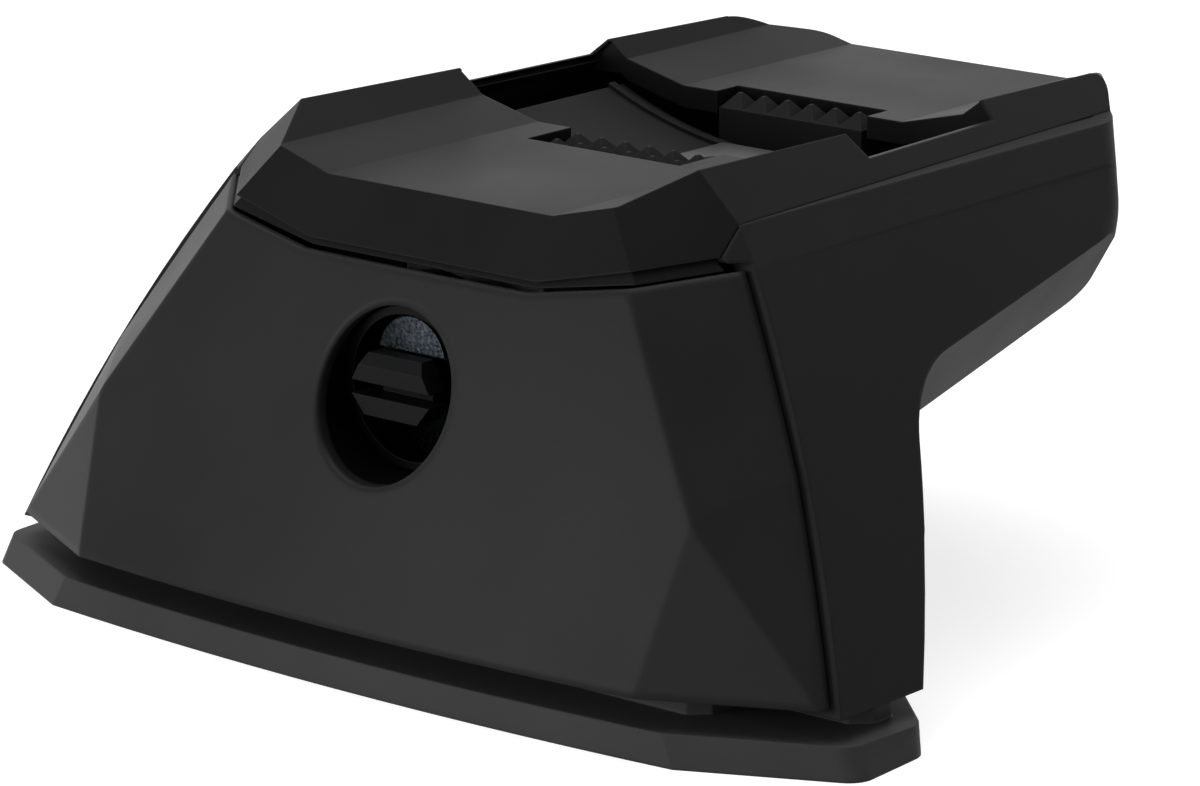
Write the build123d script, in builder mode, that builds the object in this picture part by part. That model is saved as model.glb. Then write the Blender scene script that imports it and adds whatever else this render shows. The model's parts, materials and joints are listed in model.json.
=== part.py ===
from build123d import *

import os
from math import atan, cos, degrees, sin, sqrt

os.makedirs("parts", exist_ok=True)

# Frame: millimetres, +X to the right as seen facing the cover, +Y inboard along the bar,
# +Z up. The origin is midway between the two roof bolts, on the underside of the pad.

# Rubber pad on the roof
pad_height = 5.3
pad_main_half = 68.6
pad_main_y = -19.3
pad_half = 95.7
pad_end_half = 94.7
pad_corner_y = -6.0
pad_side_end_y = 11.0
pad_back_half = 84.0
pad_back_y = 24.0
pad_bow = 3.4
pad_flare_x = 2.6
pad_flare_end = 0.2
pad_flare_y = 0.6
plateau_height = 3.5
plateau_half = 66.0
plateau_front_y = -9.0
plateau_back_y = 14.0
plateau_wing_half = 88.6
plateau_wing_y = 3.7
plateau_corner = 3.0
pad_corner_radius = 5.0

# Roof bolts and the steel under their heads
bolt_spacing = 110.0
bolt_hole_radius = 4.5
sleeve_wall = 1.5
sleeve_fit = 0.1
pad_hole_gap = 0.6
plate_width = 30.0
plate_depth = 16.0
plate_y = 2.0
plate_height = 3.0
plate_corner = 4.0

# Leg and arm
wall = 3.6
leg_bottom_z = pad_height + plateau_height
leg_bottom_half = 90.4
leg_front_y = -4.4
leg_back_y = 17.0
leg_back_lean = 0.545
crease_half = 57.1
crease_z = 72.4
side_bulge = 2.35
seam_z = 78.5
seam_y = 17.4
seam_half_front = 52.2
crease_half_back = 55.5
crease_rise = 2.4
cheek_gap = 0.3
cheek_rise = 0.9
cheek_depth = 3.0
arm_back_y = 147.2
arm_corner_half = 62.5
arm_corner_y = 110.0
arm_back_half = 31.0
underside_y = 71.0
underside_z = 41.9
underside_rise = 0.167
elbow_radius = 15.0
relief_y = 58.4
relief_half = 67.9
relief_z = 55.3
relief_rise = 0.161
relief_taper = 0.1
relief_width = 10.5
relief_elbow_radius = 22.0
relief_reach = 1.15
relief_foot_gap = 0.4
end_lean_z = 64.0
end_lean = 0.36
end_radius = 16.0
end_edge_radius = 6.0
rib_thickness = 3.0
rib_x = 36.0
rib_setback = 6.0
rib_top_z = 40.0
tongue_half = 57.5
tongue_front_y = -7.5

# Bar saddle
floor_z = 78.3
floor_half = 24.4
floor_thickness = 4.0
saddle_wall = 3.0
fascia_y = 3.9
fascia_lean = 0.4356
slope_half = 36.7
slope_z = 81.3
slope_y = 5.7
ridge_half_front = 43.4
ridge_z_front = 86.2
ridge_y_front = 18.0
ridge_half_back = 40.7
ridge_z_back = 83.8
ridge_y_back = 138.0
fascia_half = 43.1
fascia_corner_z = 72.4
fascia_corner_y = 1.4
chevron_half = 24.8
chevron_z = 68.2
saddle_corner_half = 52.6
saddle_corner_y = 12.5
saddle_corner_z = 74.2
pocket_front_y = 57.6
pocket_back_y = 97.8
rail_wall = 1.8
rail_lip = 0.6
rail_step = 1.2
rail_z = 81.6
rail_ramp = 1.4
rail_end_radius = 3.0
seam_gap = 0.4
lip_setback = 0.9
lip_gap = 0.4

# Clamp cradle
cradle_front_y = 44.2
cradle_back_y = 112.0
cradle_half = 38.2
cradle_floor_z = 68.5
cradle_arc_radius = 92.0
cradle_floor = 4.0
cradle_wall = 4.0
fin_thickness = 1.8
cradle_pocket_gap = 0.4
cradle_rim_rise = 0.8
cradle_base_z = 60.0
cradle_flange = 4.0
tooth_pitch = 5.3
tooth_row = 5.6
tooth_gap = 0.3
tooth_height = 2.5
tooth_count = 6
tooth_tip = 0.5
tooth_drop = 0.2
tooth_rows_front = 2
tooth_rows_rear = 1
block_gap = 0.9

# Clamp screw and tee nut
clamp_y = 78.0
screw_seat_z = 49.8
screw_radius = 4.0
screw_fit = 0.06
screw_head_radius = 6.5
screw_head_height = 4.4
screw_socket = 5.0
screw_socket_depth = 2.8
screw_tip_gap = 0.5
screw_chamfer = 0.8
washer_radius = 8.0
washer_height = 1.6
counterbore_gap = 1.0
clamp_boss_radius = 13.0
clamp_shoulder = 2.5
ring_radius = 6.5
ring_height = 1.2
ring_gap = 0.4
ring_fit = 0.02
washer_play = 0.3
nut_head_x = 20.0
nut_head_y = 26.0
nut_head_height = 3.0
nut_neck = 12.0
nut_neck_length = 13.5
nut_top_z = 71.3
nut_chamfer = 0.8
nut_guide_fit = 0.3
nut_guide_wall = 4.0
nut_guide_z = 57.0
nut_recess_gap = 0.6
nut_rest_gap = 0.3

# Fasteners that hold the saddle and the cradle
post_x = 29.0
post_front_y = 37.4
post_back_y = 120.0
post_radius = 5.0
pillar_top_z = 62.0
fixing_radius = 2.5
fixing_fit = 0.05
fixing_head_radius = 4.6
fixing_head_height = 3.2
fixing_head_gap = 0.4
fixing_hex = 4.0
fixing_hex_depth = 1.8
fixing_seat = 6.0
post_thread_depth = 9.0
fixing_tip_gap = 0.6
pillar_radius = 6.5
cradle_fixing_x = 30.0
cradle_fixing_front_y = 50.5
cradle_fixing_back_y = 105.5
cradle_fixing_depth = 8.5

# Front cover
cover_wall = 3.0
cover_bottom_z = 10.3
cover_main_half = 61.2
cover_main_y = -20.0
cover_apex_half = 64.3
cover_apex_y = -10.2
cover_apex_z = 37.7
cover_corner_half = 88.0
cover_flank_half = 77.9
cover_corner_y = -6.4
cover_bow = 3.2
cover_top_half = 45.4
cover_top_y = 1.6
cover_top_z = 70.2
cover_top_centre_z = 66.6
cover_top_centre_half = 24.4
cover_edge_z = 72.4
cover_groove = 1.2
cover_rebate = 1.2
cover_rebate_height = 0.9
cover_shoulder = 6.0
cover_seam_gap = 0.9
pivot_y = -9.0
pivot_z = 16.0
pivot_radius = 2.5
pivot_fit = 0.08
pivot_half = 30.0
pivot_eye_length = 5.0
pivot_eye_wall = 2.3
pivot_eye_gap = 0.6
pivot_web = 4.0
pivot_web_half = 5.0
pivot_web_radius = 3.4

# Lock in the cover
lock_z = 46.95
lock_hole_radius = 14.2
lock_boss_radius = 18.5
lock_seat_y = 2.0
lock_barrel_gap = 0.3
lock_barrel_front_y = -3.6
lock_barrel_back_y = 12.0
lock_bore_radius = 12.4
lock_flange = 2.5
lock_back_wall = 3.0
lock_plug_fit = 0.08
lock_plug_gap = 0.3
lock_plug_front_y = 1.5
lock_stem_radius = 6.0
lock_face_radius = 7.2
lock_face_rise = 4.8
lock_face_y = -2.9
lock_face_split = 6.0
lock_face_step = 1.0
lock_bar_front_y = -8.3
lock_bar_slope_y = -7.0
lock_bar_half = 8.5
lock_bar_end_half = 5.8
lock_bar_upper = 4.8
lock_bar_face = 2.8
lock_bar_lower = 3.3
lock_slot = 2.3
lock_web = 2.0
lock_web_half = 5.5
housing_screw_radius = 1.25
housing_screw_ring = 16.4
housing_screw_head = 2.2
housing_screw_head_height = 1.4
housing_screw_length = 6.0
cam_seat_y = 16.0
cam_thickness = 2.5
cam_reach = 15.0
cam_half = 6.0
cam_corner = 2.0
cam_screw_radius = 2.0
cam_screw_head = 3.6
cam_screw_head_height = 2.4
cam_screw_length = 7.0
keeper_thickness = 2.5
keeper_half = 15.0
keeper_bottom_z = 58.0
keeper_flange_z = 68.0
keeper_depth = 14.0
keeper_cam_gap = 0.6
keeper_screw_x = 9.0
keeper_screw_radius = 2.0
keeper_screw_head = 3.8
keeper_screw_head_height = 2.6
keeper_screw_grip = 3.0
keeper_screw_y = 21.0
keeper_thread_depth = 3.5
keeper_boss_radius = 4.5

# Angles, levels and places that follow from the sizes above
leg_front_lean = (seam_y - leg_front_y) / (seam_z - leg_bottom_z)
cover_lean = (cover_apex_y - cover_main_y) / (cover_apex_z - cover_bottom_z)
sleeve_radius = bolt_hole_radius + sleeve_wall
bolt_places = [(-bolt_spacing / 2, 0), (bolt_spacing / 2, 0)]
post_places = [(x, y) for x in (-post_x, post_x) for y in (post_front_y, post_back_y)]
post_root_z = floor_z - floor_thickness / 4
cradle_places = [
    (x, y)
    for x in (-cradle_fixing_x, cradle_fixing_x)
    for y in (cradle_fixing_front_y, cradle_fixing_back_y)
]
cradle_wall_front_y = pocket_front_y + cradle_pocket_gap
cradle_wall_back_y = pocket_back_y - cradle_pocket_gap
cradle_arc_z = cradle_floor_z + cradle_arc_radius
block_half = tooth_count * tooth_pitch / 2
block_top_z = floor_z - tooth_drop - tooth_height
block_front_y = cradle_wall_front_y - tooth_rows_front * tooth_row
block_back_y = cradle_wall_back_y + tooth_rows_rear * tooth_row
clamp_boss_z = screw_seat_z + clamp_shoulder
tooth_slope = degrees(atan((tooth_pitch - tooth_gap - tooth_tip) / (2 * tooth_height)))
nut_head_z = nut_top_z - nut_head_height
nut_guide_inner = nut_neck + 2 * nut_guide_fit
nut_guide_outer = nut_guide_inner + 2 * nut_guide_wall
pivot_eye_radius = pivot_radius + pivot_fit + pivot_eye_wall
keeper_front_y = cam_seat_y - keeper_cam_gap - keeper_thickness
keeper_top_z = keeper_flange_z + keeper_thickness
keeper_places = [(-keeper_screw_x, keeper_screw_y), (keeper_screw_x, keeper_screw_y)]
lock_places = [(-housing_screw_ring, lock_z), (housing_screw_ring, lock_z)]
ridge_front = (ridge_half_front, ridge_y_front, ridge_z_front)
ridge_back = (ridge_half_back, ridge_y_back, ridge_z_back)
slope_end = (slope_half, slope_y, slope_z)
far = 200.0
edge_tolerance = 0.01
least_bend = 8.0
least_inboard = 0.3
stand = (Align.CENTER, Align.CENTER, Align.MIN)
hang = (Align.CENTER, Align.CENTER, Align.MAX)
inboard = (Align.CENTER, Align.MIN, Align.MIN)
outboard = (Align.CENTER, Align.MAX, Align.MIN)
below = (Align.CENTER, Align.MAX)
forward = {"rotation": (90, 0, 0), "align": stand}
backward = {"rotation": (90, 0, 0), "align": hang}
crosswise = {"rotation": (0, 90, 0)}


def leg_back_at(z):
    """Back face of the leg at height z."""
    return leg_back_y + leg_back_lean * (z - leg_bottom_z)


def leg_front_at(z):
    """Front rim of the leg at height z."""
    return leg_front_y + leg_front_lean * (z - leg_bottom_z)


def underside_at(y):
    """Underside of the arm at depth y."""
    return underside_z + underside_rise * (y - underside_y)


def relief_at(y):
    """Upper edge of the chamfer along the arm at depth y."""
    return relief_z + relief_rise * (y - relief_y)


def fixing_seat_at(y):
    """Seat under the head of a saddle screw at depth y."""
    return underside_at(y) + fixing_seat


def elbow(line_z, rise, line_y):
    """Point where the back of the leg meets a line along the arm."""
    z = line_z + rise * (leg_back_y - leg_back_lean * leg_bottom_z - line_y)
    z = z / (1 - rise * leg_back_lean)
    return leg_back_at(z), z


def facet(a, b, c, inside):
    """Plane through three points that faces away from the point inside."""
    first, second, third = Vector(*a), Vector(*b), Vector(*c)
    normal = (second - first).cross(third - first)
    if normal.dot(Vector(*inside) - first) > 0:
        normal = normal * -1
    return Plane(origin=first, x_dir=second - first, z_dir=normal)


def both_sides(plane):
    """A plane and its mirror image across the middle of the foot."""
    origin, x_dir, z_dir = [
        Vector(-vector.X, vector.Y, vector.Z) for vector in (plane.origin, plane.x_dir, plane.z_dir)
    ]
    return [plane, Plane(origin=origin, x_dir=x_dir, z_dir=z_dir)]


def trimmed(planes, inset):
    """Keeps what lies behind each plane after it is moved in by inset."""
    for plane in planes:
        split(bisect_by=plane.offset(-inset), keep=Keep.BOTTOM)


def end_planes():
    """Angled corners and back of the arm's inboard end."""
    corner = facet(
        (arm_corner_half, arm_corner_y, 0),
        (arm_back_half, arm_back_y, 0),
        (arm_back_half, arm_back_y, seam_z),
        (0, underside_y, 0),
    )
    back = Plane(origin=(0, arm_back_y, 0), x_dir=(1, 0, 0), z_dir=(0, 1, 0))
    return both_sides(corner) + [back]


def end_section(plane, inset):
    """Side view of the arm's inboard end across one of its faces, which leans in going down."""
    across = Vector(plane.z_dir.Y, -plane.z_dir.X, 0)
    with BuildSketch(Plane(origin=plane.origin, x_dir=plane.z_dir, z_dir=across)) as section:
        with BuildLine():
            Polyline(
                (0, far),
                (0, end_lean_z),
                (-end_lean * (end_lean_z + far), -far),
                (-far, -far),
                (-far, far),
                close=True,
            )
        make_face()
        fillet(section.vertices().sort_by_distance((0, end_lean_z, 0))[0], end_radius)
        if inset > 0:
            offset(amount=-inset, kind=Kind.INTERSECTION)
    return section.sketch.face()


def end_rounding(plane):
    """Waste outside the rounded end of the rails at an angled corner of the inboard end."""
    across = Vector(plane.z_dir.Y, -plane.z_dir.X, 0)
    with BuildSketch(Plane(origin=plane.origin, x_dir=plane.z_dir, z_dir=across)) as waste:
        with Locations((-rail_end_radius, ridge_z_back - rail_end_radius)):
            Rectangle(far, far, align=(Align.MIN, Align.MIN))
            Circle(rail_end_radius, mode=Mode.SUBTRACT)
    return waste.sketch.face()


def end_edges(form, top_z):
    """Sharp edges below a level around the faces of the inboard end."""
    picked = []
    for edge in form.edges():
        middle = edge @ 0.5
        if middle.Y < clamp_y or middle.Z > top_z - edge_tolerance:
            continue
        normals = [face.normal_at(middle) for face in form.faces() if edge in face.edges()]
        bend = normals[0].get_angle(normals[-1])
        if bend > least_bend and max(normal.Y for normal in normals) > least_inboard:
            picked.append(edge)
    return picked


def relief_cutter():
    """Chamfer under one side of the arm that fades out into the back of the leg."""
    outward = Vector(1, relief_taper, 0).normalized()
    along = Vector(-relief_taper, 1, 0).normalized()
    upper_corner = Vector(*elbow(relief_z, relief_rise, relief_y))
    lower_corner = Vector(*elbow(underside_z, underside_rise, underside_y))
    upper_end = Vector(far, relief_at(far))
    lower_end = Vector(far, underside_at(far))
    foot = (leg_back_at(0) + relief_foot_gap, 0)
    with BuildPart() as cutter:
        sections = []
        for reach in (0, relief_reach):
            corner = upper_corner + (lower_corner - upper_corner) * reach
            end = upper_end + (lower_end - upper_end) * reach
            radius = relief_elbow_radius + (elbow_radius - relief_elbow_radius) * reach
            origin = Vector(relief_half + relief_taper * relief_y - relief_width * reach, 0, 0)
            with BuildSketch(Plane(origin=origin, x_dir=along, z_dir=outward)) as section:
                with BuildLine():
                    Polyline(
                        (foot[0] / along.Y, foot[1]),
                        (corner.X / along.Y, corner.Y),
                        (end.X / along.Y, end.Y),
                        (end.X / along.Y, 0),
                        close=True,
                    )
                make_face()
                nearest = section.vertices().sort_by_distance((corner.X / along.Y, corner.Y, 0))[0]
                fillet(nearest, radius)
            sections.append(section.sketch.face())
        loft(sections=sections, ruled=True)
        extrude(sections[0], amount=pad_half, dir=(1, 0, 0))
    return cutter.part


def leg_form(inset, front_reach, top_reach):
    """Leg and arm as one closed form, drawn in by inset and open where it reaches out."""
    outline_top = seam_z + top_reach
    with BuildPart() as form:
        with BuildSketch(Plane.XZ.offset(-far)):
            with BuildLine():
                bottom = (leg_bottom_half - inset, leg_bottom_z)
                crease = (crease_half - inset, crease_z)
                SagittaArc(bottom, crease, -side_bulge)
                Polyline(crease, (crease[0], outline_top), (0, outline_top), (0, leg_bottom_z), bottom)
            make_face()
            mirror(about=Plane.YZ)
        extrude(amount=2 * far)
        with BuildSketch(Plane.YZ) as side:
            corner = elbow(underside_z, underside_rise, underside_y)
            with BuildLine():
                Polyline(
                    (leg_front_y - front_reach, leg_bottom_z),
                    (leg_back_y, leg_bottom_z),
                    corner,
                    (far, underside_at(far)),
                    (far, outline_top + inset),
                    (leg_front_at(outline_top + inset) - front_reach, outline_top + inset),
                    close=True,
                )
            make_face()
            nearest = side.vertices().sort_by_distance((corner[0], corner[1], 0))[0]
            fillet(nearest, elbow_radius)
            if inset > 0:
                offset(amount=-inset, kind=Kind.INTERSECTION)
        extrude(amount=far, both=True, mode=Mode.INTERSECT)
        band = facet(
            (crease_half, leg_front_at(crease_z), crease_z),
            (crease_half_back, arm_corner_y, crease_z + crease_rise),
            (seam_half_front, seam_y, seam_z),
            (0, underside_y, crease_z),
        )
        trimmed(both_sides(band), inset)
        for plane in end_planes():
            extrude(end_section(plane, inset), amount=far, both=True, mode=Mode.INTERSECT)
        if inset == 0:
            fillet(end_edges(form, seam_z), end_edge_radius)
    return form.part


def saddle_trough(drop):
    """Space that the bar takes up above the saddle, lowered by drop."""
    above = (0, clamp_y, far)
    slope = facet((floor_half, 0, floor_z), (floor_half, clamp_y, floor_z), slope_end, above)
    bank = facet(slope_end, ridge_front, ridge_back, above)
    with BuildPart() as space:
        with Locations((0, clamp_y, floor_z)):
            Box(2 * leg_bottom_half, 2 * far, far, align=stand)
        trimmed(both_sides(slope) + both_sides(bank), 0)
    return space.part.moved(Location((0, 0, -drop)))


def above_cover(drop):
    """Space above the upper edge of the cover, lowered by drop."""
    with BuildPart() as space:
        with BuildSketch(Plane.XZ.offset(far)):
            with BuildLine():
                Polyline(
                    (0, cover_top_centre_z - drop),
                    (cover_top_centre_half, cover_top_centre_z - drop),
                    (cover_top_half, cover_top_z - drop),
                    (crease_half, cover_edge_z - drop),
                    (far, cover_edge_z - drop),
                    (far, far),
                    (0, far),
                    close=True,
                )
            make_face()
            mirror(about=Plane.YZ)
        extrude(amount=-2 * far)
    return space.part


def pad_outline(level_flare, level_z):
    """Outline of the roof pad, with its walls drawn in by the flare at this level."""
    side_in = pad_flare_x * level_flare
    front_in = pad_flare_y * level_flare
    main = (pad_main_half - side_in, pad_main_y + front_in)
    corner = (pad_half - side_in, pad_corner_y + front_in)
    end_half = pad_end_half - pad_flare_end * level_flare
    with BuildSketch(Plane.XY.offset(level_z)) as outline:
        with BuildLine():
            ThreePointArc((-main[0], main[1]), (0, main[1] - pad_bow), main)
            Polyline(
                main,
                corner,
                (end_half, pad_side_end_y),
                (pad_back_half - side_in, pad_back_y - front_in),
                (-pad_back_half + side_in, pad_back_y - front_in),
                (-end_half, pad_side_end_y),
                (-corner[0], corner[1]),
                (-main[0], main[1]),
            )
        make_face()
    return outline.sketch.face()


# Roof pad: flared rubber block with a raised plateau under the leg
with BuildPart() as roof_pad:
    loft(sections=[pad_outline(0, 0), pad_outline(1, pad_height)], ruled=True)
    upright = roof_pad.edges().filter_by(lambda edge: abs(edge.center().X) > pad_main_half + pad_flare_x)
    upright = upright.filter_by(lambda edge: abs(edge.center().Z - pad_height / 2) < pad_height / 4)
    fillet(upright, pad_corner_radius)
    with BuildSketch(Plane.XY.offset(pad_height)) as plateau:
        with Locations((0, plateau_back_y)):
            Rectangle(2 * plateau_half, plateau_back_y - plateau_front_y, align=below)
            Rectangle(2 * plateau_wing_half, plateau_back_y - plateau_wing_y, align=below)
        chamfer(plateau.vertices(), plateau_corner)
    extrude(amount=plateau_height)
    with Locations(*bolt_places):
        Hole(sleeve_radius + pad_hole_gap)
roof_pad.part.label = "roof_pad"
export_step(roof_pad.part, "parts/roof_pad.step")

# Leg body: hollow moulding, open to the front and the top, with a bolt floor
leg_outside = leg_form(0, 0, 0)
leg_inside = leg_form(wall, far / 4, far / 4)
arm_relief = relief_cutter()
relief_normal = Vector(relief_z - underside_at(relief_y), 0, -relief_width).normalized()
inner_relief = arm_relief.moved(Location(relief_normal * -wall))

with BuildPart() as leg_void:
    add(leg_inside)
    add(inner_relief, mode=Mode.SUBTRACT)
    add(inner_relief.mirror(Plane.YZ), mode=Mode.SUBTRACT)

with BuildPart() as leg_ribs:
    for x in (-rib_x, rib_x):
        with BuildSketch(Plane.YZ.offset(x)):
            with BuildLine():
                Polyline(
                    (leg_front_at(leg_bottom_z) + rib_setback, leg_bottom_z),
                    (leg_front_at(rib_top_z) + rib_setback, rib_top_z),
                    (post_front_y, rib_top_z),
                    (post_front_y, leg_bottom_z),
                    close=True,
                )
            make_face()
        extrude(amount=rib_thickness / 2, both=True)
    with Locations(*post_places):
        Cylinder(pillar_radius, pillar_top_z, align=stand)
    with Locations(*cradle_places):
        Cylinder(pillar_radius, cradle_base_z, align=stand)
    with Locations((0, clamp_y, 0)):
        Cylinder(clamp_boss_radius, clamp_boss_z, align=stand)
    add(leg_void.part, mode=Mode.INTERSECT)

# Cheeks of the leg between the corners of the saddle and the upper corners of the cover
with BuildPart() as leg_cheeks:
    add(leg_form(0, seam_y - saddle_corner_y, 0))
    Box(2 * (saddle_corner_half - cheek_depth), far, far, mode=Mode.SUBTRACT)
    nose = facet(
        (crease_half, leg_front_at(crease_z), crease_z),
        (seam_half_front, seam_y, seam_z),
        (saddle_corner_half, saddle_corner_y, saddle_corner_z),
        (0, underside_y, crease_z),
    )
    trimmed(both_sides(nose), 0)
    with BuildSketch(Plane.YZ):
        with BuildLine():
            Polyline(
                (seam_y + cheek_gap, seam_z),
                (saddle_corner_y + cheek_gap, saddle_corner_z),
                (saddle_corner_y + cheek_gap, cover_edge_z + cheek_rise),
                (seam_y + wall, cover_edge_z + cheek_rise),
                (seam_y + wall, seam_z),
                close=True,
            )
        make_face()
    extrude(amount=far, both=True, mode=Mode.INTERSECT)

with BuildPart() as leg_body:
    add(leg_outside)
    add(arm_relief, mode=Mode.SUBTRACT)
    add(arm_relief.mirror(Plane.YZ), mode=Mode.SUBTRACT)
    add(leg_void.part, mode=Mode.SUBTRACT)
    add(leg_ribs.part)
    add(leg_cheeks.part)
    add(saddle_trough(floor_thickness + seam_gap), mode=Mode.SUBTRACT)
    # Tongue of the bolt floor and the eyes that carry the trunnions of the cover
    with Locations((0, tongue_front_y, leg_bottom_z)):
        Box(2 * tongue_half, wall - tongue_front_y, wall, align=inboard)
    for x in (-pivot_half, pivot_half):
        with BuildSketch(Plane.YZ.offset(x)):
            with Locations((pivot_y, pivot_z)):
                Circle(pivot_eye_radius)
            with BuildLine():
                Polyline(
                    (pivot_y, pivot_z + pivot_eye_radius),
                    (0, leg_bottom_z + wall),
                    (0, leg_bottom_z),
                    (tongue_front_y, leg_bottom_z),
                    (pivot_y, pivot_z - pivot_eye_radius),
                    close=True,
                )
            make_face()
        extrude(amount=pivot_eye_length / 2, both=True)
    with Locations((0, pivot_y, pivot_z)):
        Cylinder(pivot_radius + pivot_fit, far, **crosswise, mode=Mode.SUBTRACT)
    # Bolt holes, screw holes and the counterbores that open under the arm
    with Locations(*bolt_places):
        Cylinder(sleeve_radius + sleeve_fit, 2 * (leg_bottom_z + wall), mode=Mode.SUBTRACT)
    for x, y in post_places:
        with Locations((x, y, fixing_seat_at(y))):
            Cylinder(fixing_head_radius + fixing_head_gap, far, align=hang, mode=Mode.SUBTRACT)
            Cylinder(fixing_radius + fixing_fit, far, align=stand, mode=Mode.SUBTRACT)
    with Locations(*[(x, y, cradle_base_z) for x, y in cradle_places]):
        Cylinder(fixing_radius + fixing_fit, cradle_fixing_depth, align=hang, mode=Mode.SUBTRACT)
    with Locations((0, clamp_y, screw_seat_z)):
        Cylinder(washer_radius + counterbore_gap, far, align=hang, mode=Mode.SUBTRACT)
        Cylinder(screw_radius + screw_fit, far, align=stand, mode=Mode.SUBTRACT)
leg_body.part.label = "leg_body"
export_step(leg_body.part, "parts/leg_body.step")

# Bolt sleeves: steel bushes that carry the pull of the roof bolts past the plastic
with BuildPart() as bolt_sleeves:
    with Locations(*bolt_places):
        Cylinder(sleeve_radius, leg_bottom_z + wall, align=stand)
        Cylinder(bolt_hole_radius, leg_bottom_z + wall, align=stand, mode=Mode.SUBTRACT)
bolt_sleeves.part.label = "bolt_sleeves"
export_step(bolt_sleeves.part, "parts/bolt_sleeves.step")

# Load plates: steel plates inside the leg, under the heads of the roof bolts
with BuildPart() as load_plates:
    with BuildSketch(Plane.XY.offset(leg_bottom_z + wall)) as plates:
        with Locations(*[(x, plate_y) for x, y in bolt_places]):
            RectangleRounded(plate_width, plate_depth, plate_corner)
        with Locations(*bolt_places):
            Circle(bolt_hole_radius, mode=Mode.SUBTRACT)
    extrude(amount=plate_height)
load_plates.part.label = "load_plates"
export_step(load_plates.part, "parts/load_plates.step")

# Bar saddle: shell with a shallow trough for the bar, split by a pocket over the clamp
saddle_middle = (0, clamp_y, seam_z)
fascia_end = (fascia_half, fascia_corner_y, fascia_corner_z)
saddle_side = facet(ridge_front, ridge_back, (seam_half_front, seam_y, seam_z), saddle_middle)
saddle_corner = facet(slope_end, fascia_end, ridge_front, saddle_middle)
saddle_front = facet(
    (0, fascia_y, floor_z),
    (floor_half, fascia_y, floor_z),
    (0, fascia_y - fascia_lean * floor_z, 0),
    saddle_middle,
)


def saddle_form(inset, end_inset):
    """Outside of the saddle before its trough is cut, drawn in by the insets."""
    with BuildPart() as form:
        Box(2 * leg_bottom_half, 2 * far, ridge_z_front, align=stand)
        trimmed(both_sides(saddle_side) + both_sides(saddle_corner) + [saddle_front], inset)
        trimmed(end_planes(), end_inset)
        upright = form.edges().filter_by(lambda edge: (edge @ 0.5).Y > clamp_y)
        upright = upright.filter_by(lambda edge: abs((edge % 0.5).Z) > abs((edge % 0.5).Y))
        fillet(upright, end_edge_radius - end_inset)
    return form.part


with BuildPart() as saddle_core:
    add(saddle_form(saddle_wall, saddle_wall))
    add(saddle_trough(floor_thickness), mode=Mode.SUBTRACT)
    pocket_block = pocket_back_y - pocket_front_y + 2 * saddle_wall
    with Locations((0, pocket_front_y - saddle_wall, 0)):
        Box(far, pocket_block, far, align=inboard, mode=Mode.SUBTRACT)

# Pocket over the clamp, stepped so that the rails beside it end in a thin lip
with BuildPart() as clamp_pocket:
    add(saddle_form(rail_lip, rail_lip))
    split(bisect_by=Plane.XY.offset(rail_z - rail_step), keep=Keep.TOP)
    add(saddle_form(rail_wall, rail_wall))
    with Locations((0, pocket_front_y, 0)):
        Box(far, pocket_back_y - pocket_front_y, far, align=inboard, mode=Mode.INTERSECT)

with BuildPart() as saddle_floor:
    add(saddle_form(saddle_wall / 2, 0))
    add(saddle_trough(floor_thickness), mode=Mode.INTERSECT)


def saddle_shell(inset):
    """Walls of the saddle, drawn in by inset, down to the level edge on top of the leg."""
    with BuildPart() as shell:
        add(saddle_form(inset, inset))
        add(saddle_core.part, mode=Mode.SUBTRACT)
        with BuildSketch(Plane.YZ):
            with BuildLine():
                Polyline(
                    (seam_y, seam_z),
                    (saddle_corner_y, saddle_corner_z),
                    (saddle_corner_y, 0),
                    (far, 0),
                    (far, seam_z),
                    close=True,
                )
            make_face()
        extrude(amount=far, both=True, mode=Mode.SUBTRACT)
    return shell.part


# Lip behind the lower edge of the fascia, which closes the seam above the cover
with BuildPart() as fascia_lip:
    add(saddle_shell(lip_setback))
    add(above_cover(-lip_gap), mode=Mode.INTERSECT)

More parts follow.
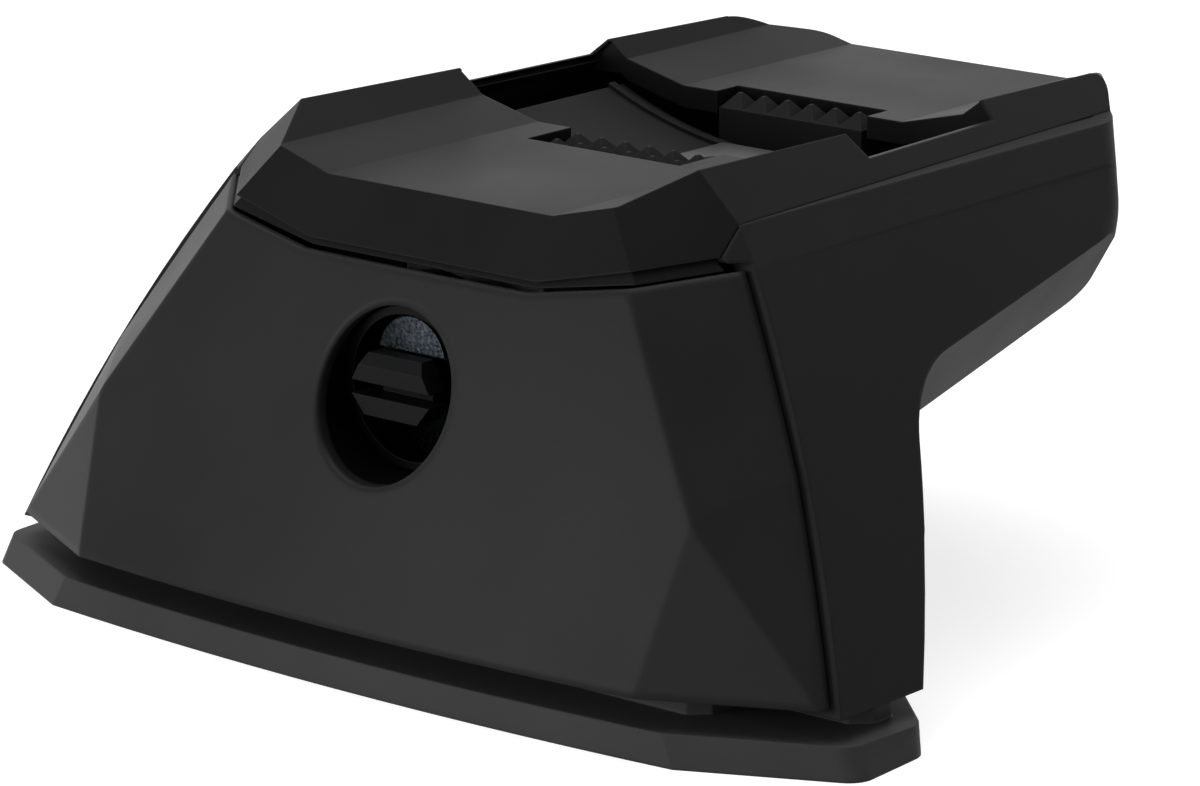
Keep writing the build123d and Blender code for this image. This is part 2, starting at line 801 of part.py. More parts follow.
with BuildPart() as bar_saddle:
    add(saddle_shell(0))
    # Lower edge of the fascia: a chevron that follows the cover
    with BuildSketch(Plane.XZ.offset(far)):
        with BuildLine():
            Polyline(
                (0, chevron_z),
                (chevron_half, chevron_z),
                (fascia_half, fascia_corner_z),
                (saddle_corner_half, saddle_corner_z),
                (far, saddle_corner_z),
                (far, 0),
                (0, 0),
                close=True,
            )
        make_face()
        mirror(about=Plane.YZ)
    extrude(amount=-far - seam_y, mode=Mode.SUBTRACT)
    add(fascia_lip.part)
    add(saddle_floor.part)
    add(saddle_trough(0), mode=Mode.SUBTRACT)
    for plane in end_planes()[:-1]:
        extrude(end_rounding(plane), amount=far, both=True, mode=Mode.SUBTRACT)
    # Pocket over the clamp, with the rails lowered beside it
    add(clamp_pocket.part, mode=Mode.SUBTRACT)
    with BuildSketch(Plane.YZ):
        with BuildLine():
            Polyline(
                (pocket_front_y, ridge_z_front),
                (pocket_front_y + rail_ramp, rail_z),
                (pocket_back_y - rail_ramp, rail_z),
                (pocket_back_y, ridge_z_front),
                close=True,
            )
        make_face()
    extrude(amount=far, both=True, mode=Mode.SUBTRACT)
    # Notches around the toothed blocks
    notch_width = 2 * (block_half + block_gap)
    with Locations((0, block_front_y - block_gap, 0)):
        Box(notch_width, clamp_y - block_front_y, far, align=inboard, mode=Mode.SUBTRACT)
    with Locations((0, block_back_y + block_gap, 0)):
        Box(notch_width, block_back_y - clamp_y, far, align=outboard, mode=Mode.SUBTRACT)
    # Posts for the screws from below, and bosses for the lock keeper
    with Locations(*[(x, y, post_root_z) for x, y in post_places]):
        Cylinder(post_radius, post_root_z - pillar_top_z, align=hang)
    with Locations(*[(x, y, pillar_top_z) for x, y in post_places]):
        Cylinder(fixing_radius + fixing_fit, post_thread_depth, align=stand, mode=Mode.SUBTRACT)
    with Locations(*[(x, y, post_root_z) for x, y in keeper_places]):
        Cylinder(keeper_boss_radius, post_root_z - keeper_top_z, align=hang)
    with Locations(*[(x, y, keeper_top_z) for x, y in keeper_places]):
        Cylinder(keeper_screw_radius + fixing_fit, keeper_thread_depth, align=stand, mode=Mode.SUBTRACT)
bar_saddle.part.label = "bar_saddle"
export_step(bar_saddle.part, "parts/bar_saddle.step")

# Saddle screws: socket heads under the arm, threaded into the posts of the saddle
with BuildPart() as saddle_screws:
    for x, y in post_places:
        seat = fixing_seat_at(y)
        with Locations((x, y, seat)):
            Cylinder(fixing_head_radius, fixing_head_height, align=hang)
            Cylinder(fixing_radius, pillar_top_z + post_thread_depth - fixing_tip_gap - seat, align=stand)
        with BuildSketch(Plane.XY.offset(seat - fixing_head_height)):
            with Locations((x, y)):
                RegularPolygon(fixing_hex / 2, 6, major_radius=False)
        extrude(amount=fixing_hex_depth, mode=Mode.SUBTRACT)
saddle_screws.part.label = "saddle_screws"
export_step(saddle_screws.part, "parts/saddle_screws.step")


def under_arc(rise, start_y):
    """Face from the base of the cradle up to the arc of its floor, raised by rise."""
    edge_z = cradle_arc_z + rise - sqrt(cradle_arc_radius**2 - cradle_half**2)
    with BuildSketch(Plane.XZ.offset(-start_y)) as outline:
        with BuildLine():
            left = (-cradle_half, edge_z)
            right = (cradle_half, edge_z)
            ThreePointArc(left, (0, cradle_floor_z + rise), right)
            Polyline(right, (cradle_half, cradle_base_z), (-cradle_half, cradle_base_z), left)
        make_face()
    return outline.sketch.face()


# Clamp cradle: curved floor under the bar, between two toothed blocks that bite into it
with BuildPart() as clamp_cradle:
    extrude(under_arc(0, cradle_wall_front_y), amount=cradle_wall_front_y - cradle_wall_back_y)
    with Locations((0, clamp_y, cradle_arc_z)):
        Cylinder(cradle_arc_radius + cradle_floor, far, rotation=(90, 0, 0), mode=Mode.INTERSECT)
    for start_y in (cradle_wall_front_y + cradle_wall - fin_thickness, cradle_wall_back_y - cradle_wall):
        extrude(under_arc(cradle_rim_rise, start_y), amount=-fin_thickness)
    # Flanges on the pillars of the arm
    with Locations((0, cradle_front_y, cradle_base_z)):
        Box(2 * cradle_half, cradle_wall_front_y - cradle_front_y, cradle_flange, align=inboard)
    with Locations((0, cradle_wall_back_y, cradle_base_z)):
        Box(2 * cradle_half, cradle_back_y - cradle_wall_back_y, cradle_flange, align=inboard)
    # Toothed blocks
    block_height = block_top_z - cradle_base_z
    with Locations((0, block_front_y, cradle_base_z)):
        Box(2 * block_half, cradle_wall_front_y - block_front_y, block_height, align=inboard)
    with Locations((0, cradle_wall_back_y, cradle_base_z)):
        Box(2 * block_half, block_back_y - cradle_wall_back_y, block_height, align=inboard)
    with BuildSketch(Plane.XY.offset(block_top_z)):
        with Locations((0, (block_front_y + cradle_wall_front_y) / 2)):
            with GridLocations(tooth_pitch, tooth_row, tooth_count, tooth_rows_front):
                Rectangle(tooth_pitch - tooth_gap, tooth_row - tooth_gap)
        with Locations((0, (block_back_y + cradle_wall_back_y) / 2)):
            with GridLocations(tooth_pitch, tooth_row, tooth_count, tooth_rows_rear):
                Rectangle(tooth_pitch - tooth_gap, tooth_row - tooth_gap)
    extrude(amount=tooth_height, taper=tooth_slope)
    # Square guide for the neck of the tee nut, and a shallow seat for its head
    nut_guide_height = cradle_floor_z - cradle_floor / 2 - nut_guide_z
    nut_seat_x = nut_head_x + 2 * nut_recess_gap
    nut_seat_y = nut_head_y + 2 * nut_recess_gap
    with Locations((0, clamp_y, nut_guide_z)):
        Box(nut_guide_outer, nut_guide_outer, nut_guide_height, align=stand)
        Box(nut_guide_inner, nut_guide_inner, far, align=stand, mode=Mode.SUBTRACT)
    with Locations((0, clamp_y, nut_head_z - nut_rest_gap)):
        Box(nut_seat_x, nut_seat_y, far, align=stand, mode=Mode.SUBTRACT)
    with Locations(*[(x, y, cradle_base_z) for x, y in cradle_places]):
        Cylinder(fixing_radius + fixing_fit, far, align=stand, mode=Mode.SUBTRACT)
clamp_cradle.part.label = "clamp_cradle"
export_step(clamp_cradle.part, "parts/clamp_cradle.step")

# Cradle screws: socket heads on the flanges, threaded into the pillars of the arm
with BuildPart() as cradle_screws:
    head_z = cradle_base_z + cradle_flange
    with Locations(*[(x, y, head_z) for x, y in cradle_places]):
        Cylinder(fixing_head_radius, fixing_head_height, align=stand)
        Cylinder(fixing_radius, cradle_flange + cradle_fixing_depth - fixing_tip_gap, align=hang)
    with BuildSketch(Plane.XY.offset(head_z + fixing_head_height)):
        with Locations(*cradle_places):
            RegularPolygon(fixing_hex / 2, 6, major_radius=False)
    extrude(amount=-fixing_hex_depth, mode=Mode.SUBTRACT)
cradle_screws.part.label = "cradle_screws"
export_step(cradle_screws.part, "parts/cradle_screws.step")

# Tee nut: head that slides in the slot of the bar, on a square neck
with BuildPart() as tee_nut:
    with Locations((0, clamp_y, nut_head_z)):
        Box(nut_head_x, nut_head_y, nut_head_height, align=stand)
    chamfer(tee_nut.faces().sort_by(Axis.Z)[-1].edges(), nut_chamfer)
    with Locations((0, clamp_y, nut_head_z)):
        Box(nut_neck, nut_neck, nut_neck_length, align=hang)
    with Locations((0, clamp_y, 0)):
        Cylinder(screw_radius + screw_fit, far, mode=Mode.SUBTRACT)
tee_nut.part.label = "tee_nut"
export_step(tee_nut.part, "parts/tee_nut.step")

# Clamp screw: socket head under the arm, turned from below to pull the nut down
with BuildPart() as clamp_screw:
    head_seat_z = screw_seat_z - washer_height
    with Locations((0, clamp_y, head_seat_z)):
        Cylinder(screw_head_radius, screw_head_height, align=hang)
    chamfer(clamp_screw.edges().sort_by(Axis.Z)[0], screw_chamfer)
    with Locations((0, clamp_y, head_seat_z)):
        Cylinder(screw_radius, nut_top_z - screw_tip_gap - head_seat_z, align=stand)
    chamfer(clamp_screw.edges().sort_by(Axis.Z)[-1], screw_chamfer)
    with BuildSketch(Plane.XY.offset(head_seat_z - screw_head_height)):
        with Locations((0, clamp_y)):
            RegularPolygon(screw_socket / 2, 6, major_radius=False)
    extrude(amount=screw_socket_depth, mode=Mode.SUBTRACT)
clamp_screw.part.label = "clamp_screw"
export_step(clamp_screw.part, "parts/clamp_screw.step")

# Screw washer: between the head of the clamp screw and the arm
with BuildPart() as screw_washer:
    with Locations((0, clamp_y, screw_seat_z - washer_height)):
        Cylinder(washer_radius, washer_height - washer_play, align=stand)
        Cylinder(screw_radius + ring_fit, washer_height, align=stand, mode=Mode.SUBTRACT)
screw_washer.part.label = "screw_washer"
export_step(screw_washer.part, "parts/screw_washer.step")

# Retaining ring: keeps the clamp screw in the arm
with BuildPart() as retaining_ring:
    with Locations((0, clamp_y, clamp_boss_z + ring_gap)):
        Cylinder(ring_radius, ring_height, align=stand)
        Cylinder(screw_radius + ring_fit, ring_height, align=stand, mode=Mode.SUBTRACT)
retaining_ring.part.label = "retaining_ring"
export_step(retaining_ring.part, "parts/retaining_ring.step")

# Front cover: faceted shell that leans back with the leg and carries the lock
cover_middle = (0, seam_y, lock_z)
cover_apex = (cover_apex_half, cover_apex_y, cover_apex_z)
cover_top = (cover_top_half, cover_top_y, cover_top_z)
cover_main = (cover_main_half, cover_main_y, cover_bottom_z)
cover_corner = (cover_corner_half, cover_corner_y, cover_bottom_z)
cover_crease = (crease_half, leg_front_at(crease_z), crease_z)
cover_flank = (cover_flank_half, leg_front_at(cover_apex_z), cover_apex_z)
cover_facets = [
    facet(cover_top, cover_apex, cover_crease, cover_middle),
    facet(cover_apex, cover_corner, cover_flank, cover_middle),
    facet(cover_apex, cover_main, cover_corner, cover_middle),
]
cover_angle = atan(cover_lean)
cover_plane = Plane(
    origin=(0, cover_main_y, cover_bottom_z),
    x_dir=(1, 0, 0),
    z_dir=(0, sin(cover_angle), cos(cover_angle)),
)


def cover_form(inset):
    """Outside of the cover, open to the top, the bottom and the back, drawn in by inset."""
    bow = cover_bow * cos(cover_angle)
    radius = (cover_main_half**2 + bow**2) / (2 * bow)
    edge_y = radius - bow - sqrt((radius - inset) ** 2 - leg_bottom_half**2)
    with BuildPart() as form:
        with BuildSketch(cover_plane):
            with BuildLine():
                front_left = (-leg_bottom_half, edge_y)
                front_right = (leg_bottom_half, edge_y)
                ThreePointArc(front_left, (0, inset - bow), front_right)
                Polyline(front_right, (leg_bottom_half, far), (-leg_bottom_half, far), front_left)
            make_face()
        extrude(amount=far, both=True)
        with BuildSketch(Plane.XZ.offset(far)):
            with BuildLine():
                bottom = (leg_bottom_half - cover_groove - inset, leg_bottom_z)
                crease = (crease_half - cover_groove - inset, crease_z)
                below = 2 * bottom[0] - crease[0]
                SagittaArc(bottom, crease, -side_bulge)
                Polyline(crease, (crease[0], far), (0, far), (0, -far), (below, -far), bottom)
            make_face()
            mirror(about=Plane.YZ)
        extrude(amount=-2 * far, mode=Mode.INTERSECT)
        for side_facet in cover_facets:
            trimmed(both_sides(side_facet), inset)
    return form.part


def shoulder_edges(form):
    """Edges along the sides of the cover, between its angled facets and its flanks."""
    picked = []
    for edge in form.edges():
        middle = edge @ 0.5
        normals = [face.normal_at(middle) for face in form.faces() if edge in face.edges()]
        flank = [normal for normal in normals if abs(normal.Y) < edge_tolerance]
        front = [normal for normal in normals if normal.Y < -least_inboard]
        if flank and front and abs(middle.X) > cover_top_half and abs(flank[0].X) > least_inboard:
            picked.append(edge)
    return picked


cover_rooting = cover_form(cover_wall / 2)

with BuildPart() as lock_boss:
    with Locations((0, lock_seat_y, lock_z)):
        Cylinder(lock_boss_radius, far, **forward)
    add(cover_rooting, mode=Mode.INTERSECT)

with BuildPart() as trunnion_webs:
    for side in (-1, 1):
        web_x = side * (pivot_half + pivot_eye_length / 2 + pivot_eye_gap + pivot_web / 2)
        with Locations((web_x, pivot_y, pivot_z - pivot_web_half)):
            Box(pivot_web, far, 2 * pivot_web_half, align=outboard)
        with Locations((web_x, pivot_y, pivot_z)):
            Cylinder(pivot_web_radius, pivot_web, **crosswise)
    add(cover_rooting, mode=Mode.INTERSECT)

with BuildPart() as edge_rebate:
    add(cover_form(cover_rebate))
    add(above_cover(cover_rebate_height), mode=Mode.INTERSECT)

with BuildPart() as front_cover:
    add(cover_form(0))
    # Upper edge follows the fascia and is thinned behind, lower edge and back are level with the leg
    add(above_cover(0), mode=Mode.SUBTRACT)
    split(bisect_by=Plane.XY.offset(cover_bottom_z), keep=Keep.TOP)
    fillet(shoulder_edges(front_cover), cover_shoulder)
    add(cover_form(cover_wall), mode=Mode.SUBTRACT)
    add(edge_rebate.part, mode=Mode.SUBTRACT)
    leg_rim = facet(
        (0, leg_front_at(0), 0),
        (far, leg_front_at(0), 0),
        (0, leg_front_at(crease_z), crease_z),
        cover_main,
    )
    split(bisect_by=leg_rim.offset(-cover_seam_gap), keep=Keep.BOTTOM)
    add(lock_boss.part)
    add(trunnion_webs.part)
    for side in (-1, 1):
        pin_x = side * (pivot_half - pivot_eye_length / 2 - pivot_eye_gap)
        pin_length = pivot_eye_length + 2 * pivot_eye_gap + pivot_web
        with Locations((pin_x + side * pin_length / 2, pivot_y, pivot_z)):
            Cylinder(pivot_radius, pin_length, **crosswise)
    # Lock hole and the holes for the screws of its housing
    with Locations((0, 0, lock_z)):
        Cylinder(lock_hole_radius, far, rotation=(90, 0, 0), mode=Mode.SUBTRACT)
    screw_depth = housing_screw_length - lock_flange + fixing_tip_gap
    with Locations(*[(x, lock_seat_y, z) for x, z in lock_places]):
        Cylinder(housing_screw_radius + fixing_fit, screw_depth, **forward, mode=Mode.SUBTRACT)
front_cover.part.label = "front_cover"
export_step(front_cover.part, "parts/front_cover.step")

# Lock housing: barrel in the lock hole, with a flange behind the boss of the cover
with BuildPart() as lock_housing:
    barrel_length = lock_barrel_back_y - lock_barrel_front_y
    with Locations((0, lock_barrel_back_y, lock_z)):
        Cylinder(lock_hole_radius - lock_barrel_gap, barrel_length, **forward)
    with Locations((0, lock_seat_y + lock_flange, lock_z)):
        Cylinder(lock_boss_radius, lock_flange, **forward)
    with Locations((0, lock_barrel_back_y - lock_back_wall, lock_z)):
        Cylinder(lock_bore_radius, far, **forward, mode=Mode.SUBTRACT)
    with Locations((0, 0, lock_z)):
        Cylinder(lock_stem_radius + lock_plug_fit, far, rotation=(90, 0, 0), mode=Mode.SUBTRACT)
    with Locations(*[(x, lock_seat_y, z) for x, z in lock_places]):
        Cylinder(housing_screw_radius + fixing_fit, lock_flange, **backward, mode=Mode.SUBTRACT)
lock_housing.part.label = "lock_housing"
export_step(lock_housing.part, "parts/lock_housing.step")

# Housing screws: hold the flange of the lock housing on the boss of the cover
with BuildPart() as housing_screws:
    with Locations(*[(x, lock_seat_y + lock_flange, z) for x, z in lock_places]):
        Cylinder(housing_screw_radius, housing_screw_length, **forward)
        Cylinder(housing_screw_head, housing_screw_head_height, **backward)
housing_screws.part.label = "housing_screws"
export_step(housing_screws.part, "parts/housing_screws.step")

# Lock plug: core that turns in the housing, with a half-moon face above the grip
with BuildPart() as lock_plug:
    plug_back_y = lock_barrel_back_y - lock_back_wall - lock_plug_gap
    with Locations((0, plug_back_y, lock_z)):
        Cylinder(lock_bore_radius - lock_plug_fit, plug_back_y - lock_plug_front_y, **forward)
    with Locations((0, cam_seat_y, lock_z)):
        Cylinder(lock_stem_radius, cam_seat_y - lock_plug_front_y, **forward)
    with BuildSketch(Plane.XZ.offset(-lock_plug_front_y)):
        with Locations((0, lock_z + lock_face_rise)):
            Circle(lock_face_radius)
    extrude(amount=lock_plug_front_y - lock_face_y)
    with Locations((0, lock_face_y, lock_z + lock_face_split)):
        Box(far, 2 * lock_face_step, far, align=hang, mode=Mode.SUBTRACT)
    screw_depth = cam_screw_length - cam_thickness + fixing_tip_gap
    with Locations((0, cam_seat_y, lock_z)):
        Cylinder(cam_screw_radius + fixing_fit, screw_depth, **forward, mode=Mode.SUBTRACT)
lock_plug.part.label = "lock_plug"
export_step(lock_plug.part, "parts/lock_plug.step")

# Lock grip: two bars across the face of the plug, joined behind the slot between them
with BuildPart() as lock_grip:
    grip_back_y = lock_face_y + lock_face_step
    upper_z = lock_z + lock_slot / 2
    lower_z = lock_z - lock_slot / 2
    with Locations((0, grip_back_y, lower_z - lock_bar_lower)):
        Box(2 * lock_web_half, lock_web, lock_bar_lower + lock_slot + lock_bar_face, align=outboard)
    with BuildSketch(Plane.XZ.offset(-grip_back_y + lock_web)):
        for level, height in ((upper_z, lock_bar_upper), (lower_z, -lock_bar_lower)):
            with BuildLine():
                Polyline(
                    (-lock_bar_half, level),
                    (lock_bar_half, level),
                    (lock_bar_end_half, level + height),
                    (-lock_bar_end_half, level + height),
                    close=True,
                )
            make_face()
    extrude(amount=grip_back_y - lock_web - lock_bar_front_y)
    with BuildSketch(Plane.YZ):
        with BuildLine():
            Polyline(
                (lock_bar_front_y, upper_z + lock_bar_face),
                (lock_bar_slope_y, upper_z + lock_bar_upper),
                (lock_bar_front_y, upper_z + lock_bar_upper),
                close=True,
            )
        make_face()
    extrude(amount=lock_bar_half, both=True, mode=Mode.SUBTRACT)
lock_grip.part.label = "lock_grip"
export_step(lock_grip.part, "parts/lock_grip.step")

# Lock cam: arm behind the plug that catches the keeper when it is turned up
with BuildPart() as lock_cam:
    with BuildSketch(Plane.XZ.offset(-cam_seat_y)):
        with Locations((0, lock_z)):
            Circle(cam_half)
            Rectangle(cam_reach, 2 * cam_half, align=(Align.MIN, Align.CENTER))
            Circle(cam_screw_radius + fixing_fit, mode=Mode.SUBTRACT)
    extrude(amount=-cam_thickness)
    chamfer(lock_cam.edges().filter_by(Axis.Y).group_by(Axis.X)[-1], cam_corner)
lock_cam.part.label = "lock_cam"
export_step(lock_cam.part, "parts/lock_cam.step")

# Cam screw: holds the cam on the stem of the plug
with BuildPart() as cam_screw:
    with Locations((0, cam_seat_y + cam_thickness, lock_z)):
        Cylinder(cam_screw_radius, cam_screw_length, **forward)
        Cylinder(cam_screw_head, cam_screw_head_height, **backward)
cam_screw.part.label = "cam_screw"
export_step(cam_screw.part, "parts/cam_screw.step")

# Lock keeper: bracket under the saddle that the cam reaches behind
with BuildPart() as lock_keeper:
    with Locations((0, keeper_front_y, keeper_bottom_z)):
        Box(2 * keeper_half, keeper_thickness, keeper_top_z - keeper_bottom_z, align=inboard)
    with Locations((0, keeper_front_y, keeper_flange_z)):
        Box(2 * keeper_half, keeper_depth, keeper_thickness, align=inboard)
    with Locations(*[(x, y, keeper_flange_z) for x, y in keeper_places]):
        Cylinder(keeper_screw_radius + fixing_fit, far, mode=Mode.SUBTRACT)
lock_keeper.part.label = "lock_keeper"
export_step(lock_keeper.part, "parts/lock_keeper.step")

# Keeper screws: hold the keeper against the bosses of the saddle
with BuildPart() as keeper_screws:
    with Locations(*[(x, y, keeper_flange_z) for x, y in keeper_places]):
        Cylinder(keeper_screw_radius, keeper_thickness + keeper_screw_grip, align=stand)
        Cylinder(keeper_screw_head, keeper_screw_head_height, align=hang)
keeper_screws.part.label = "keeper_screws"
export_step(keeper_screws.part, "parts/keeper_screws.step")
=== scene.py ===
import json

import bpy
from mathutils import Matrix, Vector

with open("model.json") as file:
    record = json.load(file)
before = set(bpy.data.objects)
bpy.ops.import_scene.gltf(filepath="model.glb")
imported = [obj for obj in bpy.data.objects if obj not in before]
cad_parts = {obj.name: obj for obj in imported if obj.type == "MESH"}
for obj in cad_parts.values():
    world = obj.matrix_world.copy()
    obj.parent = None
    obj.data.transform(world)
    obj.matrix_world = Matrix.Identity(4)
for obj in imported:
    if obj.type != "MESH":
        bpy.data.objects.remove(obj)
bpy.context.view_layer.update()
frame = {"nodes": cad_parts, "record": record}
scene = bpy.context.scene
scene.view_settings.view_transform = "Standard"

# Surface detail that all finishes share
patch_detail = 4.0
grain_detail = 2.0
grain_depth = 0.0001
noise_low, noise_high = 0.3, 0.7
gloss_drift = 0.05
edge_samples = 8
# Bevel turn over which edges are lightened by rubbing and by a painted highlight
edge_turned, edge_flat = 0.75, 0.98
metal_edge_mm = 0.3
metal_specular = 0.5

# Lock hole in the leaning face of the cover, and the painted shade on its wall: how far in the wall stays
# as light as the face
lock_z = 0.04695
hole_radius = 0.0142
hole_rim_y = -0.01015
cover_lean = 0.357
wall_start, wall_end = 0.0001, 0.0003
shade_begin_depth, shade_full_depth = 0.0022, 0.0028
hole_shade_level = 0.1

# Grip of the lock, the barrel around it and the half-moon above it, with painted shade on the barrel, below
# the half-moon and to its left
grip_reach, barrel_start = 0.0095, 0.0105
barrel_shade_level = 0.06
moon_start, moon_end = 0.0055, 0.0060
moon_left, moon_right = -0.005, 0.001
moon_left_shade = 0.3
face_shade_level = 0.05


def link(tree, source, output, target, socket):
    """Joins an output of one shader node to an input of another."""
    tree.links.new(source.outputs[output], target.inputs[socket])


def noise(tree, place, size_mm, detail):
    """Cloudy pattern with features of a given size."""
    node = tree.nodes.new("ShaderNodeTexNoise")
    node.inputs["Scale"].default_value = 1000.0 / size_mm
    node.inputs["Detail"].default_value = detail
    link(tree, place, "Object", node, "Vector")
    return node


def blend(tree, factor, output, first, second):
    """Mix of two colours, steered by an output of another node."""
    node = tree.nodes.new("ShaderNodeMix")
    node.data_type = "RGBA"
    node.inputs["A"].default_value = (*first, 1.0)
    node.inputs["B"].default_value = (*second, 1.0)
    link(tree, factor, output, node, "Factor")
    return node


def spread(tree, factor, output, low, high, start=0.0, end=1.0):
    """Number that runs from low to high while an output runs from start to end."""
    node = tree.nodes.new("ShaderNodeMapRange")
    node.inputs["From Min"].default_value = start
    node.inputs["From Max"].default_value = end
    node.inputs["To Min"].default_value = low
    node.inputs["To Max"].default_value = high
    link(tree, factor, output, node, "Value")
    return node


def scaled(tree, colour, output, factor):
    """Colour times a number from another node."""
    node = tree.nodes.new("ShaderNodeVectorMath")
    node.operation = "SCALE"
    link(tree, colour, output, node, 0)
    link(tree, factor, 0, node, "Scale")
    return node


def joined(tree, operation, first, second):
    """Number worked out from two others."""
    node = tree.nodes.new("ShaderNodeMath")
    node.operation = operation
    link(tree, first, 0, node, 0)
    link(tree, second, 0, node, 1)
    return node


def moulded(
    name, shade, rough, grain_mm, grain, edge_mm, specular, rub_and_highlight=1.4, patch_mm=36.0, drift=0.15, veil=None
):
    """Moulded surface: fine grain, drift of shade and gloss, softened edges lightened by rubbing and by a
    painted highlight, and optional painted shade.
    """
    material = bpy.data.materials.new(name)
    material.use_nodes = True
    tree = material.node_tree
    shader = tree.nodes["Principled BSDF"]
    shader.inputs["Specular IOR Level"].default_value = specular
    place = tree.nodes.new("ShaderNodeTexCoord")

    patches = noise(tree, place, patch_mm, patch_detail)
    depth = spread(tree, patches, "Fac", 0.0, 1.0, noise_low, noise_high)
    low = [(1.0 - drift) * c for c in shade]
    high = [(1.0 + drift) * c for c in shade]
    tone = blend(tree, depth, "Result", low, high)
    gloss = spread(tree, depth, "Result", rough - gloss_drift, rough + gloss_drift)
    link(tree, gloss, "Result", shader, "Roughness")

    speck = noise(tree, place, grain_mm, grain_detail)
    edge = tree.nodes.new("ShaderNodeBevel")
    edge.samples = edge_samples
    edge.inputs["Radius"].default_value = edge_mm / 1000.0
    relief = tree.nodes.new("ShaderNodeBump")
    relief.inputs["Strength"].default_value = grain
    relief.inputs["Distance"].default_value = grain_depth
    link(tree, speck, "Fac", relief, "Height")
    link(tree, edge, "Normal", relief, "Normal")
    link(tree, relief, "Normal", shader, "Normal")

    surface = tree.nodes.new("ShaderNodeNewGeometry")
    turn = tree.nodes.new("ShaderNodeVectorMath")
    turn.operation = "DOT_PRODUCT"
    link(tree, edge, "Normal", turn, 0)
    link(tree, surface, "Normal", turn, 1)
    # Edges turned away from the flat face are lightened: partly rubbing, partly a painted highlight.
    wear_and_highlight = spread(tree, turn, "Value", rub_and_highlight, 1.0, edge_turned, edge_flat)
    colour = scaled(tree, tone, "Result", wear_and_highlight)
    # Optional mask of painted shade multiplied into the colour.
    if veil:
        colour = scaled(tree, colour, "Vector", veil(tree, place))
    link(tree, colour, "Vector", shader, "Base Color")
    return material


def metal(name, shade, rough, grain_mm, grain, **more):
    """Bare or plated metal with a speckled cast or rolled surface."""
    material = moulded(name, shade, rough, grain_mm, grain, metal_edge_mm, metal_specular, **more)
    material.node_tree.nodes["Principled BSDF"].inputs["Metallic"].default_value = 1.0
    return material


def from_lock(tree, place):
    """Distance from the axis of the lock."""
    flat = tree.nodes.new("ShaderNodeVectorMath")
    flat.operation = "MULTIPLY"
    flat.inputs[1].default_value = (1.0, 0.0, 1.0)
    link(tree, place, "Object", flat, 0)
    reach = tree.nodes.new("ShaderNodeVectorMath")
    reach.operation = "DISTANCE"
    reach.inputs[1].default_value = (0.0, 0.0, lock_z)
    link(tree, flat, "Vector", reach, 0)
    return reach


def hole_veil(tree, place):
    """Painted shade: blackens the wall of the lock hole from a short way in and leaves the face around it
    as it is.
    """
    aside = from_lock(tree, place)
    beside = spread(tree, aside, "Value", hole_shade_level, 1.0, hole_radius + wall_start, hole_radius + wall_end)
    inward = tree.nodes.new("ShaderNodeVectorMath")
    inward.operation = "DOT_PRODUCT"
    inward.inputs[1].default_value = (0.0, 1.0, -cover_lean)
    link(tree, place, "Object", inward, 0)
    rim = hole_rim_y - cover_lean * lock_z
    near = spread(tree, inward, "Value", 1.0, hole_shade_level, rim + shade_begin_depth, rim + shade_full_depth)
    return joined(tree, "MAXIMUM", beside, near)


def barrel_veil(tree, place):
    """Painted shade: blackens the barrel around the lock core and leaves the grip in its middle as it is.
    """
    return spread(tree, from_lock(tree, place), "Value", 1.0, barrel_shade_level, grip_reach, barrel_start)


def face_veil(tree, place):
    """Painted shade: leaves the half-moon at the top of the lock core bare, shades it darker to the left
    and blackens the rest of the face.
    """
    parts = tree.nodes.new("ShaderNodeSeparateXYZ")
    link(tree, place, "Object", parts, "Vector")
    bare = spread(tree, parts, "Z", face_shade_level, 1.0, lock_z + moon_start, lock_z + moon_end)
    side = spread(tree, parts, "X", moon_left_shade, 1.0, moon_left, moon_right)
    return joined(tree, "MULTIPLY", bare, side)


# rub_and_highlight sets how much edges are lightened by rubbing and painted highlight; veil darkens the
# lock hole, barrel and lock face.
finishes = {
    "pad_rubber": moulded(
        "pad_rubber", (0.036, 0.036, 0.037), rough=0.55, grain_mm=0.5, grain=0.3, edge_mm=0.8, specular=0.08
    ),
    "body_plastic": moulded(
        "body_plastic", (0.0105, 0.0105, 0.0108),
        rough=0.5, grain_mm=0.45, grain=0.25, edge_mm=0.7, specular=0.05, rub_and_highlight=1.8,
    ),
    "saddle_plastic": moulded(
        "saddle_plastic", (0.0072, 0.0072, 0.0074),
        rough=0.37, grain_mm=0.3, grain=0.1, edge_mm=0.4, specular=0.04, rub_and_highlight=3.0,
    ),
    "cover_plastic": moulded(
        "cover_plastic", (0.0118, 0.0118, 0.0122),
        rough=0.38, grain_mm=0.3, grain=0.12, edge_mm=2.0, specular=0.07, veil=hole_veil,
    ),
    "cradle_black": moulded(
        "cradle_black", (0.0110, 0.0110, 0.0113),
        rough=0.55, grain_mm=0.4, grain=0.2, edge_mm=0.4, specular=0.04,
    ),
    "nut_steel": moulded(
        "nut_steel", (0.016, 0.016, 0.017), rough=0.35, grain_mm=0.4, grain=0.2, edge_mm=0.3, specular=0.4
    ),
    "lock_black": moulded(
        "lock_black", (0.0036, 0.0037, 0.0038),
        rough=0.45, grain_mm=0.5, grain=0.4, edge_mm=0.25, specular=0.06, veil=barrel_veil,
    ),
    "zinc_steel": metal("zinc_steel", (0.62, 0.63, 0.65), rough=0.32, grain_mm=0.8, grain=0.1),
    "lock_zinc": metal(
        "lock_zinc", (0.026, 0.031, 0.036),
        rough=0.45, grain_mm=0.6, grain=0.9, patch_mm=0.7, drift=0.9, veil=face_veil,
    ),
}
slots = {entry["node"]: entry["material_slot"] for entry in frame["record"]["subparts"]}
for node, thing in frame["nodes"].items():
    thing.data.materials.clear()
    thing.data.materials.append(finishes[slots[node]])

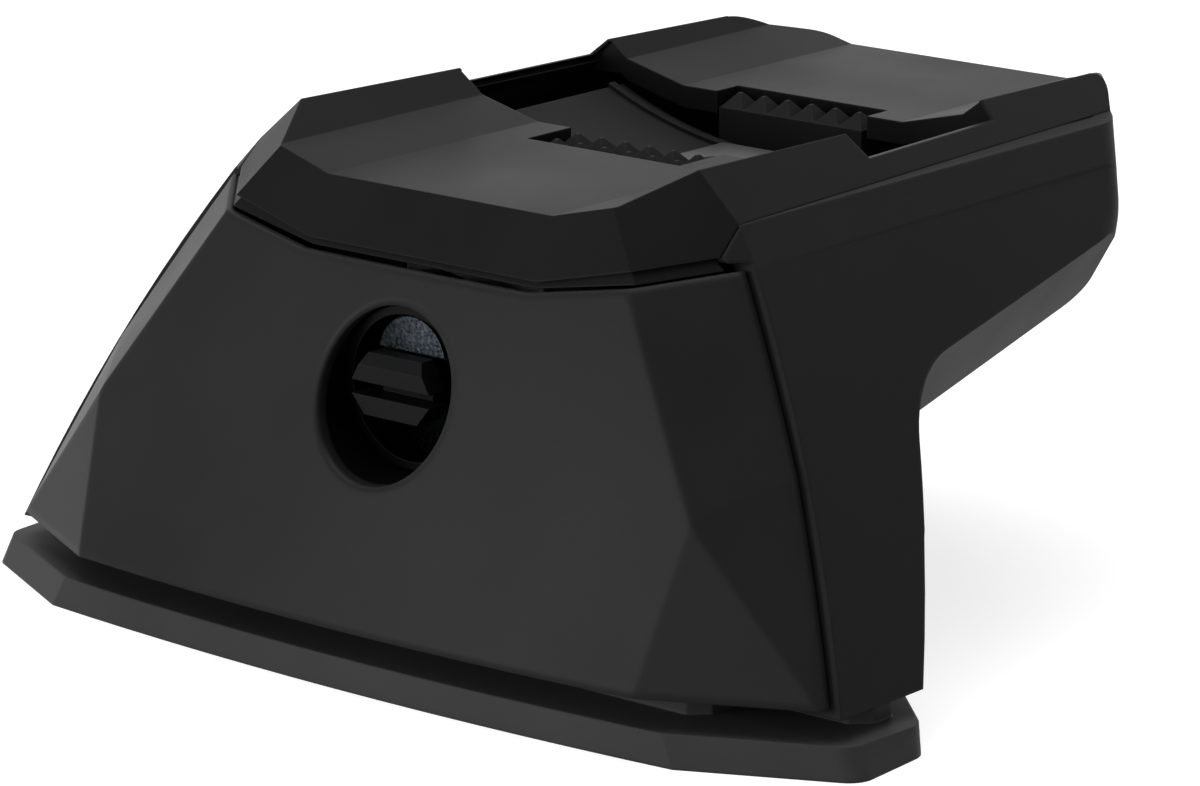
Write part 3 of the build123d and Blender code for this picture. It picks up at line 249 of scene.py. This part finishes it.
# Camera at the photograph's viewing angle
eye = bpy.data.cameras.new("camera")
eye.sensor_fit = "HORIZONTAL"
eye.sensor_width = 36.0
eye.lens = 167.225
eye.clip_end = 20.0
camera = bpy.data.objects.new("camera", eye)
bpy.context.collection.objects.link(camera)
camera.location = (0.59084, -0.66226, 0.28117)
aim = Vector((0.031951, 0.007010, 0.049468)) - camera.location
camera.rotation_euler = aim.to_track_quat("-Z", "Y").to_euler()
scene.camera = camera


def lamp(name, place, target, width, height, power):
    """Rectangular soft light that faces a point."""
    data = bpy.data.lights.new(name, "AREA")
    data.shape = "RECTANGLE"
    data.size = width
    data.size_y = height
    data.energy = power
    thing = bpy.data.objects.new(name, data)
    bpy.context.collection.objects.link(thing)
    thing.location = place
    thing.rotation_euler = (Vector(target) - Vector(place)).to_track_quat("-Z", "Y").to_euler()


middle = (0.0, 0.06, 0.05)
lamp("overhead", (-0.2, 0.2, 1.1), middle, width=1.2, height=1.0, power=11.0)
lamp("low_front", (-0.47, -0.92, 0.16), middle, width=0.5, height=0.4, power=5.2)
lamp("right_front", (0.25, -1.0, 0.25), middle, width=0.5, height=0.4, power=2.0)


def seen_directly(tree):
    """Light Path value that is 1 for the camera, for reflections and for glass."""
    rays = tree.nodes.new("ShaderNodeLightPath")
    total = rays.outputs["Is Camera Ray"]
    for kind in ("Is Glossy Ray", "Is Transmission Ray"):
        either = tree.nodes.new("ShaderNodeMath")
        either.operation = "MAXIMUM"
        tree.links.new(total, either.inputs[0])
        link(tree, rays, kind, either, 1)
        total = either.outputs["Value"]
    return either


# Pale floor and white surroundings
floor_shade = (0.45, 0.45, 0.45, 1.0)
white = (1.0, 1.0, 1.0, 1.0)
floor_glow = 0.75
sky_light = 0.3

bpy.ops.mesh.primitive_plane_add(size=12.0, location=(0.0, 0.0, 0.0))
floor = bpy.context.object
floor.name = "floor"
pale = bpy.data.materials.new("pale_floor")
pale.use_nodes = True
tree = pale.node_tree
shader = tree.nodes["Principled BSDF"]
shader.inputs["Base Color"].default_value = floor_shade
shader.inputs["Roughness"].default_value = 0.9
shader.inputs["Emission Color"].default_value = white
glow = spread(tree, seen_directly(tree), "Value", 0.0, floor_glow)
link(tree, glow, "Result", shader, "Emission Strength")
floor.data.materials.append(pale)

world = bpy.data.worlds.new("studio")
scene.world = world
world.use_nodes = True
tree = world.node_tree
sky = tree.nodes["Background"]
sky.inputs["Color"].default_value = white
level = spread(tree, seen_directly(tree), "Value", sky_light, 1.0)
link(tree, level, "Result", sky, "Strength")
